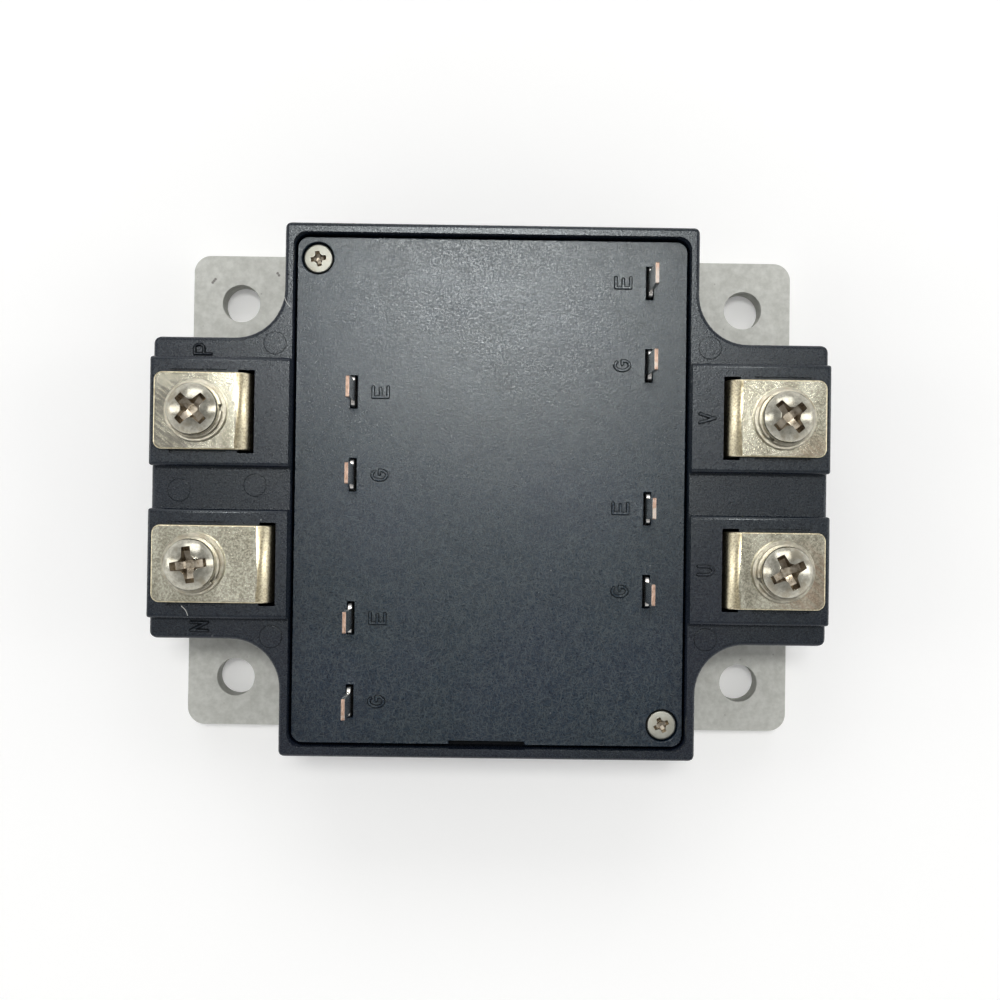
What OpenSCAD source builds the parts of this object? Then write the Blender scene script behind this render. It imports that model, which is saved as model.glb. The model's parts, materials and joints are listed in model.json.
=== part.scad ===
// Four-switch power module: a nickel-plated base plate, a moulded case with
// two screw terminals on each side, a flat lid and eight plug-on control tabs.
// Units are millimetres. The origin is the centre of the mounting face, +Z up.

/* [Base plate] */
// Spacing of the mounting holes along X
hole_pitch_x = 74; // [72:0.5:78]
// Spacing of the mounting holes along Y
hole_pitch_y = 55; // [53:0.5:58]
// Diameter of the mounting holes
hole_d = 5.5; // [4.5:0.1:6.5]
// Distance from a hole's centre to the plate's edges
ear_margin = 7; // [6:0.5:9]
// Thickness of the base plate
plate_t = 4; // [3:0.5:5]
// Corner radius of the base plate
plate_corner_r = 2.5; // [1:0.5:5]

/* [Case] */
// Length of the case body along X, between the mounting ears
body_l = 56; // [55:0.2:58]
// Thickness of the skirt that hangs round the plate's edge
skirt_t = 1.4; // [1:0.1:2]
// Height of the skirt's lower edge above the mounting face
skirt_lift = 0.5; // [0.3:0.1:1.5]
// Height of the rim and of the side ledges above the mounting face
rim_z = 22.7; // [22:0.1:25]
// Vertical corner radius of the case body
body_corner_r = 1; // [0.6:0.1:2]
// Vertical corner radius of the side wings
wing_corner_r = 1.2; // [0.6:0.1:2]
// Rounding of the case's upper edges
edge_r = 0.5; // [0.2:0.1:0.8]
// Radius of the concave corner between a wing and the body
ear_fillet_r = 6.7; // [5:0.1:8]
// Rim thickness on the sides that face X
rim_x = 1.1; // [0.9:0.1:1.6]
// Rim thickness on the sides that face Y
rim_y = 1.25; // [1:0.05:1.8]
// Corner radius of the lid recess
recess_corner_r = 1.8; // [1.2:0.1:2.6]
// Wall between the inner chamber and the outside of the body
wall_t = 3.5; // [3:0.1:4.5]
// Corner radius of the inner chamber
chamber_corner_r = 3; // [2:0.5:4]

/* [Terminal blocks] */
// Spacing of the two blocks on one side, along Y
block_pitch = 20.3; // [19.5:0.1:22]
// Width of one block along Y
block_w = 14.6; // [14:0.1:15.6]
// Ledge left outside each block, along Y
ledge_w = 2.85; // [2:0.05:4]
// Height of a block above the ledge
block_raise = 2.2; // [1.5:0.1:3]
// Distance of the terminal screws from the case's end, along X
screw_inset = 6.5; // [5.5:0.1:7.5]

/* [Terminals] */
// Thickness of the terminal strip
strip_t = 1; // [0.8:0.1:1.2]
// Width of the strip where the screw clamps it
strip_w = 10.3; // [9.6:0.1:10.8]
// Distance of the strip's outer end from the case's end, along X
strip_inset = 0.8; // [0.3:0.1:1.5]
// Corner radius of the strip's outer end
strip_corner_r = 1.15; // [0.6:0.05:2]
// Outer radius of the bend over the block
bend_r = 2; // [1.6:0.1:2.4]
// Gap between the P strip's leg and its nut
leg_p_gap = 2.05; // [1:0.05:3]
// Distance of the N strip's leg from the body's side
leg_n_gap = 0.8; // [0.6:0.1:3.6]
// Gap between the V and U strips' legs and their nuts
leg_out_gap = 2.45; // [1:0.05:3]
// Width of the strip's narrow inner end
inner_w = 4; // [3:0.2:5]
// Height at which the strip runs in through the case wall
run_z = 9; // [8:0.1:9.6]

/* [Terminal screws] */
// Thread diameter of the terminal screws
thread_d = 4; // [3.5:0.1:4.5]
// Length of the screw under its head
screw_l = 12; // [10:0.5:13]
// Diameter of the pan head
head_d = 6.8; // [6.4:0.1:7.2]
// Height of the pan head
head_h = 2.6; // [2.2:0.1:3.1]
// Outer diameter of the spring washer
spring_d = 7.4; // [7:0.1:7.8]
// Thickness of the spring washer
spring_t = 1; // [0.8:0.1:1.2]
// Outer diameter of the flat washer
washer_d = 8.3; // [7.9:0.1:9]
// Thickness of the flat washer
washer_t = 0.8; // [0.6:0.1:1]
// Width of the nut across its flats
nut_af = 7; // [6.6:0.1:7.4]
// Thickness of the nut
nut_t = 3.2; // [2.6:0.1:3.4]

/* [Lid] */
// Height of the lid's face above the mounting face
lid_z = 20.4; // [20:0.1:21.5]
// Thickness of the lid
lid_t = 2.5; // [2:0.1:3]
// Gap between the lid and its recess
lid_gap = 0.3; // [0.15:0.05:0.4]
// Width of the pry notch in the lid's front edge
notch_w = 10.3; // [8:0.1:12]
// Depth of the pry notch
notch_d = 0.5; // [0.3:0.1:0.8]
// Distance of the lid screws from the lid's edges, as [X, Y]
lid_screw_inset = [2.75, 2.9];
// Head diameter of the lid screws
lid_head_d = 4; // [3.6:0.1:4.2]
// Head thickness of the lid screws
lid_head_h = 1; // [0.8:0.1:1.2]
// Thread diameter of the lid screws
lid_thread_d = 2.2; // [2:0.1:2.4]
// Length of the lid screws under the head
lid_screw_l = 7; // [5:0.5:7]
// Depth of the lid screws' heads below the lid's face
lid_head_sink = 0.4; // [0.2:0.1:0.6]

/* [Control tabs] */
// Thickness of a control tab
tab_t = 0.5; // [0.4:0.1:0.6]
// Width of a tab's plug-on blade
tab_w = 2.8; // [2.4:0.1:3]
// Width of a tab across its shoulders
shoulder_w = 4; // [3.6:0.1:4.2]
// Height of a tab's tip above the lid's face
tab_h = 8.9; // [7:0.1:10]
// Height of the shoulders above the lid's face
shoulder_h = 1.5; // [1:0.1:2]
// Distance of the left column of tabs from the chamber's left wall
tab_left_gap = 5.8; // [5:0.1:7]
// Distance of the right column of tabs from the chamber's right wall
tab_right_gap = 3; // [2.6:0.1:4.5]
// Distance of the left column's lowest tab from the chamber's lower end
tab_left_end = 3.75; // [3.25:0.05:4.25]
// Distance of the right column's uppermost tab from the chamber's upper end
tab_right_end = 3.75; // [3.25:0.05:4.25]
// Spacing of the two tabs of one switch
tab_pair_pitch = 11.3; // [11:0.1:11.6]
// Spacing of the pairs in one column
tab_group_pitch = 30.8; // [30.4:0.1:31.2]

/* [Substrates and chips] */
// Thickness of the copper foils
foil_t = 0.3; // [0.2:0.05:0.4]
// Thickness of the ceramic
ceramic_t = 0.64; // [0.4:0.02:1]
// Gap between a substrate and the chamber wall
substrate_gap = 1.6; // [1.2:0.1:2]
// Edge length of a transistor chip
igbt_w = 9.5; // [8:0.1:10]
// Edge length of a diode chip
diode_w = 7; // [6:0.1:7.5]
// Thickness of the chips
chip_t = 0.3; // [0.2:0.05:0.4]
// Diameter of a bond wire
wire_d = 0.4; // [0.3:0.05:0.5]
// Cover of silicone gel above the strips where they run in
gel_cover = 0.6; // [0.4:0.1:1]
// Height of the epoxy cap's surface above the mounting face
epoxy_z = 15.5; // [14:0.1:16.5]

/* [Hidden] */
$fn = 64;

// Small overlap that lets a cut run past a face.
eps = 0.2;

// Clearances
plate_fit = 0.1;    // plate edge to skirt
strip_fit = 0.1;    // strip to the channel it runs in
strip_lift = 0.1;   // strip above the block's face
nut_fit = 0.1;      // nut to its pocket, each side
thread_fit = 0.05;  // screw to nut or pilot hole, on the radius
hole_fit = 0.2;     // screw or head to the hole it passes, on the radius
slot_fit = 0.25;    // control tab to its slot in the lid, each side
well_fit = 0.4;     // strip to its slot in the block
tip_gap = 0.7;      // below the tips of the screws

// Overall sizes that follow the base plate
plate_l = hole_pitch_x + 2 * ear_margin;
plate_w = hole_pitch_y + 2 * ear_margin;
case_l = plate_l + 2 * (plate_fit + skirt_t);
case_w = plate_w + 2 * (plate_fit + skirt_t);
wing_w = block_pitch + block_w + 2 * ledge_w;
block_z = rim_z + block_raise;

// Lid recess and inner chamber
recess_l = body_l - 2 * rim_x;
recess_w = case_w - 2 * rim_y;
lid_l = recess_l - 2 * lid_gap;
lid_w = recess_w - 2 * lid_gap;
shelf_z = lid_z - lid_t;
chamber_l = body_l - 2 * wall_t;
chamber_w = case_w - 2 * wall_t;

// Terminal strip
screw_x = case_l / 2 - screw_inset;
nut_edge_x = screw_x - nut_af / 2 / cos(30);
leg_p_x = nut_edge_x - leg_p_gap - strip_t;
leg_n_x = body_l / 2 + leg_n_gap;
leg_out_x = nut_edge_x - leg_out_gap - strip_t;
strip_end_x = case_l / 2 - strip_inset;
strip_z = block_z + strip_lift;
strip_top = strip_z + strip_t;
neck_z = run_z + 5;                     // where the wide leg becomes narrow
inner_y = block_pitch / 2 - 2.15;       // middle of the narrow inner end
inner_bend_r = 0.6;                     // inside radius of the inner bends
foot_l = 3;                             // length of the soldered foot
drop_x = chamber_l / 2 - 2.8;           // inner face of the strip's last drop
slot_w = strip_w + 2 * well_fit;        // slot in the block, along Y
slot_l = 1.2 + strip_t;                 // slot in the block, along X
relief = [7.6, 11.2, 0.4];              // shallow seat over the nut pocket

// Screw stack
washer_z = strip_top;
spring_z = washer_z + washer_t;
head_z = spring_z + spring_t;
nut_z = block_z - relief[2] - nut_fit - nut_t;
screw_tip_z = head_z - screw_l;
recess_angle = [45, 8, 40, 27];         // turn of each cross recess: P, N, V, U
split_angle = [5, -35, 235, 200];     // turn of each spring washer's gap
split_w = 0.7;                          // width of the gap

// Lid screws
lid_screw_x = lid_l / 2 - lid_screw_inset[0];
lid_screw_y = lid_w / 2 - lid_screw_inset[1];
lid_head_z = lid_z - lid_head_sink - lid_head_h;
lid_boss_r = 2.6;
lid_recess_angle = [10, 25];

// Control tabs
leg_w = 1.3;                            // narrow lower leg of a tab
tab_foot_l = 2.2;                       // soldered foot of a tab
tab_bend_r = 0.3;                       // inside radius of a tab's bend
collar_z = shelf_z - 1;                 // lower end of a tab's wide part
tip_round = 0.15;                       // rounding of the tip's corners
tab_span = tab_pair_pitch + tab_group_pitch;
tab_left = [tab_left_gap - chamber_l / 2, tab_left_end - chamber_w / 2 + tab_span];
tab_right = [chamber_l / 2 - tab_right_gap, chamber_w / 2 - tab_right_end];
tab_places = [
    for (col = [tab_left, tab_right], row = [0:3])
        [col[0], col[1] - (row % 2) * tab_pair_pitch - floor(row / 2) * tab_group_pitch]
];

// Substrates
substrate_split = 1;                    // gap between the two substrates
substrate_l = chamber_l - 2 * substrate_gap;
substrate_w = (chamber_w - 2 * substrate_gap - substrate_split) / 2;
substrate_y = (substrate_w + substrate_split) / 2;
foil_edge = 0.5;                        // bare ceramic round the foils
island_gap = 0.8;                       // between two copper islands
strip_island_w = 2.8;                   // narrow islands along the long sides
pad_l = 5.4;                            // soldering pad of a control tab
pad_w = 2.6;
gel_z = run_z + strip_t + gel_cover;    // surface of the gel
ceramic_z = plate_t + foil_t;
pattern_z = ceramic_z + ceramic_t;
copper_z = pattern_z + foil_t;
chip_top = copper_z + chip_t;
chip_x = 8;                             // chips' distance from the middle
igbt_y = 20.5;
diode_y = 9;
wire_pitch = 1.5;

// ---- Plane figures ----

module rounded_rect(l, w, r) {
    square([l - 2 * r, w], center = true);
    square([l, w - 2 * r], center = true);
    for (x = [-1, 1], y = [-1, 1]) translate([x * (l / 2 - r), y * (w / 2 - r)]) circle(r);
}

// Upright section with rounded upper corners, from z0 to z1.
module arched_rect(w, z0, z1, r) {
    translate([-w / 2, z0]) square([w, z1 - r - z0]);
    translate([-w / 2 + r, z0]) square([w - 2 * r, z1 - z0]);
    for (x = [-1, 1]) translate([x * (w / 2 - r), z1 - r]) circle(r);
}

// Quarter of a ring round [x, y], in the quadrant given by the signs.
module quarter_ring(x, y, r_in, r_out, sx, sy) {
    translate([x, y]) intersection() {
        difference() {
            circle(r_out);
            circle(r_in);
        }
        translate([min(sx, 0) * r_out, min(sy, 0) * r_out]) square(r_out);
    }
}

// ---- Shared solids ----

module prism(z0, z1) {
    translate([0, 0, z0]) linear_extrude(z1 - z0) children();
}

// Upright block with rounded vertical corners and rounded upper edges.
module soft_block(l, w, z0, z1, corner_r, top_r) {
    intersection() {
        prism(z0, z1) rounded_rect(l, w, corner_r);
        translate([0, w / 2 + eps, 0]) rotate([90, 0, 0])
            linear_extrude(w + 2 * eps) arched_rect(l, z0, z1, top_r);
        translate([-l / 2 - eps, 0, 0]) rotate([90, 0, 90])
            linear_extrude(l + 2 * eps) arched_rect(w, z0, z1, top_r);
    }
}

// Profile drawn in X and Z, extruded along Y about y = yc.
module along_y(yc, w) {
    translate([0, yc + w / 2, 0]) rotate([90, 0, 0]) linear_extrude(w) children();
}

// Cross recess of a screw head, its mouth at z = 0.
module cross_recess(span, slot, depth) {
    for (a = [0, 90]) rotate(a) translate([-span / 2, -slot / 2, -depth * 0.6])
        cube([span, slot, depth * 0.6 + eps]);
    translate([0, 0, -depth]) cylinder(h = depth, r1 = slot * 0.4, r2 = slot * 0.9);
}

module for_corners(dx, dy) {
    for (x = [-1, 1], y = [-1, 1]) translate([x * dx, y * dy, 0]) children();
}

// ---- Base plate ----

module base_plate() color([0.78, 0.79, 0.76]) {
    difference() {
        prism(0, plate_t) rounded_rect(plate_l, plate_w, plate_corner_r);
        for_corners(hole_pitch_x / 2, hole_pitch_y / 2)
            translate([0, 0, -eps]) cylinder(h = plate_t + 2 * eps, d = hole_d);
    }
}

// ---- Case ----

// Web that rounds the inner corner between a wing and the body, in the +X +Y quarter.
module corner_web() {
    r = ear_fillet_r;
    lap = 1;
    difference() {
        translate([body_l / 2 - lap, wing_w / 2 - lap, skirt_lift])
            cube([r + lap, r + lap, rim_z - skirt_lift]);
        translate([body_l / 2 + r, wing_w / 2 + r, 0]) rotate_extrude() {
            square([r, rim_z + eps]);
            difference() {
                translate([0, rim_z - edge_r]) square([r + edge_r, edge_r + eps]);
                translate([r + edge_r, rim_z - edge_r]) circle(edge_r);
            }
        }
    }
}

module terminal_block() {
    inner_x = recess_l / 2;
    intersection() {
        translate([0, block_pitch / 2, 0])
            soft_block(case_l, block_w, rim_z - 1, block_z, edge_r, edge_r);
        translate([inner_x, 0, 0]) cube([case_l, wing_w, block_z + eps]);
    }
}

// Channel for a strip: the slot in the block's face, then the way in to the chamber,
// with room for the inside of the lower bend.
module strip_channel(leg_x) {
    slot_x = leg_x - strip_fit;
    back_x = leg_x + strip_t + strip_fit;
    translate([leg_x - well_fit, (block_pitch - slot_w) / 2, neck_z - strip_fit])
        cube([slot_l, slot_w, block_z - neck_z + 1]);
    translate([slot_x, inner_y - inner_w / 2 - strip_fit, run_z - strip_fit])
        cube([back_x - slot_x, inner_w + 2 * strip_fit, neck_z - run_z + eps]);
    translate([chamber_l / 2 - 1, inner_y - inner_w / 2 - strip_fit, run_z - strip_fit])
        cube([back_x - chamber_l / 2 + 1, inner_w + 2 * strip_fit, strip_t + 2 * strip_fit]);
    translate([leg_x - inner_bend_r, inner_y - inner_w / 2 - strip_fit, run_z])
        cube([inner_bend_r, inner_w + 2 * strip_fit, strip_t + inner_bend_r]);
}

// Seat, hexagonal pocket and tip hole of one terminal screw.
module nut_well() {
    translate([screw_x, block_pitch / 2, 0]) {
        translate([-relief[0] / 2, -relief[1] / 2, block_z - relief[2]])
            cube([relief[0], relief[1], relief[2] + eps]);
        translate([0, 0, nut_z - nut_fit])
            cylinder(h = nut_t + 2 * nut_fit + eps, d = (nut_af + 2 * nut_fit) / cos(30), $fn = 6);
        translate([0, 0, screw_tip_z - tip_gap])
            cylinder(h = nut_z - screw_tip_z + tip_gap, d = thread_d + 2 * hole_fit);
    }
}

// Hollow under a block, open towards the base plate.
module block_core() {
    core = [8.6, 8.8];
    core_top = screw_tip_z - tip_gap - 1.8;
    translate([case_l / 2 - skirt_t - plate_fit - core[0] / 2 - 0.8, block_pitch / 2 + 1.4, 0])
        prism(plate_t - eps, core_top) rounded_rect(core[0], core[1], 1);
}

module on_side(sx, sy) {
    mirror([sx < 0 ? 1 : 0, 0, 0]) mirror([0, sy < 0 ? 1 : 0, 0]) children();
}

module lid_boss() {
    intersection() {
        translate([lid_screw_x, lid_screw_y, 0]) prism(gel_z, shelf_z) circle(lid_boss_r);
        translate([0, 0, gel_z]) cube([body_l / 2, case_w / 2, shelf_z - gel_z]);
    }
}

module lid_pilot() {
    translate([lid_screw_x, lid_screw_y, lid_head_z - lid_screw_l - tip_gap / 2])
        cylinder(h = lid_screw_l + 1, d = lid_thread_d + 2 * thread_fit);
}

module case_frame() color([0.10, 0.10, 0.11]) {
    difference() {
        union() {
            difference() {
                union() {
                    soft_block(body_l, case_w, skirt_lift, rim_z, body_corner_r, edge_r);
                    soft_block(case_l, wing_w, skirt_lift, rim_z, wing_corner_r, edge_r);
                    for (sx = [-1, 1], sy = [-1, 1]) on_side(sx, sy) {
                        corner_web();
                        terminal_block();
                    }
                }
                prism(shelf_z, block_z + 1) rounded_rect(recess_l, recess_w, recess_corner_r);
                prism(plate_t - eps, shelf_z + eps)
                    rounded_rect(chamber_l, chamber_w, chamber_corner_r);
                prism(skirt_lift - 1, plate_t)
                    rounded_rect(plate_l + 2 * plate_fit, plate_w + 2 * plate_fit, plate_corner_r);
            }
            for (s = [-1, 1]) on_side(s, -s) lid_boss();
        }
        for (s = [-1, 1]) on_side(s, -s) lid_pilot();
        for (sx = [-1, 1], sy = [-1, 1]) on_side(sx, sy) {
            nut_well();
            block_core();
        }
        on_side(-1, 1) strip_channel(leg_p_x);
        on_side(-1, -1) strip_channel(leg_n_x);
        on_side(1, 1) strip_channel(leg_out_x);
        on_side(1, -1) strip_channel(leg_out_x);
    }
}

// ---- Lid ----

module lid() color([0.13, 0.13, 0.14]) {
    slot = [tab_t + 2 * slot_fit, shoulder_w + 2 * slot_fit];
    difference() {
        prism(shelf_z, lid_z) rounded_rect(lid_l, lid_w, recess_corner_r - lid_gap);
        for (p = tab_places) translate([p[0], p[1], (lid_z + shelf_z) / 2])
            cube([slot[0], slot[1], lid_t + 2 * eps], center = true);
        translate([-notch_w / 2, -lid_w / 2 - eps, shelf_z - eps])
            cube([notch_w, notch_d + eps, lid_t + 2 * eps]);
        for (s = [-1, 1]) translate([s * lid_screw_x, -s * lid_screw_y, 0]) {
            translate([0, 0, shelf_z - eps])
                cylinder(h = lid_t + 2 * eps, d = lid_thread_d + 2 * hole_fit);
            translate([0, 0, lid_head_z]) cylinder(h = lid_t, d = lid_head_d + 2 * hole_fit);
        }
    }
}

// side is -1 for the upper left corner and 1 for the lower right one.
module lid_screw(side) color([0.80, 0.79, 0.74]) {
    translate([side * lid_screw_x, -side * lid_screw_y, lid_head_z]) difference() {
        union() {
            cylinder(h = lid_head_h, d = lid_head_d);
            translate([0, 0, -lid_screw_l]) cylinder(h = lid_screw_l, d = lid_thread_d);
        }
        translate([0, 0, lid_head_h]) rotate(lid_recess_angle[side < 0 ? 0 : 1])
            cross_recess(2, 0.6, 0.9);
    }
}

// ---- Terminals ----

// Upper part of a strip in X and Z: clamped flat, bend and wide leg.
module strip_upper(leg_x) {
    bend_x = leg_x + bend_r;
    translate([bend_x, strip_z]) square([strip_end_x - bend_x, strip_t]);
    quarter_ring(bend_x, strip_top - bend_r, bend_r - strip_t, bend_r, -1, 1);
    translate([leg_x, neck_z]) square([strip_t, strip_top - bend_r - neck_z]);
}

// Lower part: narrow leg, run through the wall, drop and foot.
module strip_lower(leg_x) {
    r_in = inner_bend_r;
    r_out = r_in + strip_t;
    low_z = run_z + strip_t + r_in;
    foot_z = copper_z + strip_t + r_in;
    translate([leg_x, low_z]) square([strip_t, neck_z - low_z + eps]);
    quarter_ring(leg_x - r_in, low_z, r_in, r_out, 1, -1);
    translate([drop_x + r_out, run_z]) square([leg_x - r_in - drop_x - r_out, strip_t]);
    quarter_ring(drop_x + r_out, run_z - r_in, r_in, r_out, -1, 1);
    translate([drop_x, foot_z]) square([strip_t, run_z - r_in - foot_z]);
    quarter_ring(drop_x - r_in, foot_z, r_in, r_out, 1, -1);
    translate([drop_x - r_in - foot_l, copper_z]) square([foot_l, strip_t]);
}

module terminal(sx, sy, leg_x) color([0.82, 0.80, 0.75]) {
    on_side(sx, sy) difference() {
        union() {
            intersection() {
                along_y(block_pitch / 2, strip_w) strip_upper(leg_x);
                translate([0, block_pitch / 2, 0]) prism(0, strip_top + eps)
                    rounded_rect(2 * strip_end_x, strip_w, strip_corner_r);
            }
            along_y(inner_y, inner_w) strip_lower(leg_x);
        }
        translate([screw_x, block_pitch / 2, strip_z - eps])
            cylinder(h = strip_t + 2 * eps, d = thread_d + 2 * hole_fit);
    }
}

// Places one terminal screw's parts: i is 0 for P, 1 for N, 2 for V and 3 for U.
module at_screw(i, z) {
    sx = i < 2 ? -1 : 1;
    sy = i % 2 == 0 ? 1 : -1;
    translate([sx * screw_x, sy * block_pitch / 2, z]) children();
}

module terminal_screw(i) color([0.84, 0.83, 0.79]) {
    crown_r = 1.4;
    at_screw(i, head_z) difference() {
        union() {
            rotate_extrude() {
                square([head_d / 2, head_h - crown_r]);
                square([head_d / 2 - crown_r, head_h]);
                translate([head_d / 2 - crown_r, head_h - crown_r]) intersection() {
                    circle(crown_r);
                    square(crown_r);
                }
            }
            translate([0, 0, -screw_l]) cylinder(h = screw_l + eps, d = thread_d - 2 * thread_fit);
        }
        translate([0, 0, head_h]) rotate(recess_angle[i]) cross_recess(4.2, 1.1, 2.2);
    }
}

module ring(d_out, d_in, h) {
    difference() {
        cylinder(h = h, d = d_out);
        translate([0, 0, -eps]) cylinder(h = h + 2 * eps, d = d_in);
    }
}

module spring_washer(i) color([0.72, 0.71, 0.67]) {
    at_screw(i, spring_z) difference() {
        ring(spring_d, thread_d + 2 * thread_fit, spring_t);
        rotate(split_angle[i]) translate([0, -split_w / 2, -eps])
            cube([spring_d, split_w, spring_t + 2 * eps]);
    }
}

module flat_washer(i) color([0.78, 0.77, 0.73]) {
    at_screw(i, washer_z) ring(washer_d, thread_d + 2 * hole_fit, washer_t);
}

module terminal_nut(i) color([0.70, 0.69, 0.65]) {
    at_screw(i, nut_z) difference() {
        cylinder(h = nut_t, d = nut_af / cos(30), $fn = 6);
        translate([0, 0, -eps]) cylinder(h = nut_t + 2 * eps, d = thread_d);
    }
}

// ---- Control tabs ----

// Points of a tab's corner rounded by r, from the edge to the top, centred r inside the corner.
function tab_corner(edge, top, r) =
    [for (a = [0:15:90]) [edge - r + r * cos(a), top - r + r * sin(a)]];

// Right half of a tab's outline in Y and Z: leg, collar, rounded shoulder, blade and tip.
function tab_half() = concat(
    [[leg_w / 2, copper_z + tab_t + tab_bend_r], [leg_w / 2, collar_z], [shoulder_w / 2, collar_z]],
    tab_corner(shoulder_w / 2, lid_z + shoulder_h, (shoulder_w - tab_w) / 2),
    tab_corner(tab_w / 2, lid_z + tab_h, tip_round)
);

module tab_outline() {
    half = tab_half();
    last = len(half) - 1;
    polygon(concat(half, [for (i = [0:last]) [-half[last - i][0], half[last - i][1]]]));
}

// Tabs 1 to 4 are the left column from the top, 5 to 8 the right one.
module control_tab(i) color([0.80, 0.66, 0.52]) {
    p = tab_places[i - 1];
    bend_z = copper_z + tab_t + tab_bend_r;
    bend_x = tab_t / 2 + tab_bend_r;
    translate([p[0], p[1], 0]) mirror([p[0] > 0 ? 1 : 0, 0, 0]) {
        translate([-tab_t / 2, 0, 0]) rotate([90, 0, 90]) linear_extrude(tab_t) tab_outline();
        along_y(0, leg_w) {
            quarter_ring(bend_x, bend_z, tab_bend_r, tab_bend_r + tab_t, -1, -1);
            translate([bend_x, copper_z]) square([tab_foot_l, tab_t]);
        }
    }
}

// ---- Substrates: side is 1 for the V leg and -1 for the U leg ----

module ceramic(side) color([0.93, 0.93, 0.90]) {
    translate([0, side * substrate_y, 0])
        prism(ceramic_z, pattern_z) square([substrate_l, substrate_w], center = true);
}

module foil_area(side) {
    translate([0, side * substrate_y])
        square([substrate_l - 2 * foil_edge, substrate_w - 2 * foil_edge], center = true);
}

module back_copper(side) color([0.80, 0.50, 0.32]) {
    prism(plate_t, ceramic_z) foil_area(side);
}

// Soldering pad of one tab, grown by gap.
module tab_pad(p, gap) {
    inward = p[0] < 0 ? 1 : -1;
    translate([p[0] + inward * (pad_l / 2 - 1), p[1]])
        square([pad_l + 2 * gap, pad_w + 2 * gap], center = true);
}

module main_islands(side) {
    near = substrate_split / 2 + foil_edge;
    far = near + substrate_w - 2 * foil_edge;
    low = near + strip_island_w;
    high = far - strip_island_w;
    half_l = substrate_l / 2 - foil_edge;
    mirror([0, side < 0 ? 1 : 0]) {
        translate([-half_l, near]) square([2 * half_l, strip_island_w - island_gap / 2]);
        translate([-half_l, high + island_gap / 2])
            square([2 * half_l, strip_island_w - island_gap / 2]);
        for (s = [-1, 1]) translate([s > 0 ? island_gap / 2 : -half_l, low + island_gap / 2])
            square([half_l - island_gap / 2, high - low - island_gap]);
    }
}

module copper_pattern(side) color([0.84, 0.54, 0.34]) {
    own_tabs = [for (p = tab_places) if (p[1] * side > 0) p];
    prism(pattern_z, copper_z) {
        difference() {
            main_islands(side);
            for (p = own_tabs) tab_pad(p, island_gap);
        }
        intersection() {
            foil_area(side);
            union() for (p = own_tabs) tab_pad(p, 0);
        }
    }
}

// Chips 1 and 2 belong to the V leg, 3 and 4 to the U leg; odd ones lie on the left.
function chip_side(i) = i <= 2 ? 1 : -1;
function chip_place(i, y) = [(i % 2 == 1 ? -1 : 1) * chip_x, chip_side(i) * y];

module chip(place, w) {
    translate([place[0], place[1], 0]) prism(copper_z, chip_top) square(w, center = true);
}

module igbt_chip(i) color([0.55, 0.56, 0.60]) chip(chip_place(i, igbt_y), igbt_w);

module diode_chip(i) color([0.60, 0.60, 0.62]) chip(chip_place(i, diode_y), diode_w);

// Arched wire from a on a chip to b on the copper.
module wire(a, b, from_z) {
    d = b - a;
    r = norm(d) / 2;
    translate([(a[0] + b[0]) / 2, (a[1] + b[1]) / 2, from_z]) rotate(atan2(d[1], d[0]))
        rotate([90, 0, 0]) rotate_extrude(angle = 180) translate([r, 0]) circle(d = wire_d);
    if (from_z > copper_z) translate([b[0], b[1], copper_z])
        cylinder(h = from_z - copper_z, d = wire_d);
}

module bond_wires(side) color([0.85, 0.86, 0.87]) {
    left = side > 0 ? 1 : 3;
    igbt_l = chip_place(left, igbt_y);
    igbt_r = chip_place(left + 1, igbt_y);
    diode_l = chip_place(left, diode_y);
    diode_r = chip_place(left + 1, diode_y);
    far_y = side * (substrate_y + substrate_w / 2 - foil_edge - strip_island_w / 2 + island_gap / 4);
    near_y = side * (substrate_split / 2 + foil_edge + strip_island_w / 2 - island_gap / 4);
    cross_x = 2;
    for (k = [-1.5:1.5]) {
        step = k * wire_pitch;
        wire(igbt_l + [2.5, step], [cross_x, igbt_l[1] + step], chip_top);
        wire(igbt_r + [step, side * 2], [igbt_r[0] + step, far_y], chip_top);
    }
    for (k = [-1:1]) {
        step = k * wire_pitch;
        wire(diode_l + [2, step], [cross_x, diode_l[1] + step], chip_top);
        wire(diode_r + [step, -side * 1.5], [diode_r[0] + step, near_y], chip_top);
    }
}

// ---- Fillings ----

module chamber(z0, z1) {
    prism(z0, z1) rounded_rect(chamber_l, chamber_w, chamber_corner_r);
}

// Gel fills the chamber round everything that stands in it.
module silicone_gel() color([0.85, 0.88, 0.86, 0.4]) {
    difference() {
        chamber(plate_t, gel_z);
        for (side = [-1, 1]) {
            back_copper(side);
            ceramic(side);
            copper_pattern(side);
            bond_wires(side);
        }
        for (i = [1:4]) {
            igbt_chip(i);
            diode_chip(i);
        }
        for (i = [1:8]) control_tab(i);
        terminal(-1, 1, leg_p_x);
        terminal(-1, -1, leg_n_x);
        terminal(1, 1, leg_out_x);
        terminal(1, -1, leg_out_x);
    }
}

module epoxy_cap() color([0.16, 0.15, 0.14]) {
    difference() {
        chamber(gel_z, epoxy_z);
        for (i = [1:8]) control_tab(i);
        for (s = [-1, 1]) on_side(s, -s) lid_boss();
    }
}

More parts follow.
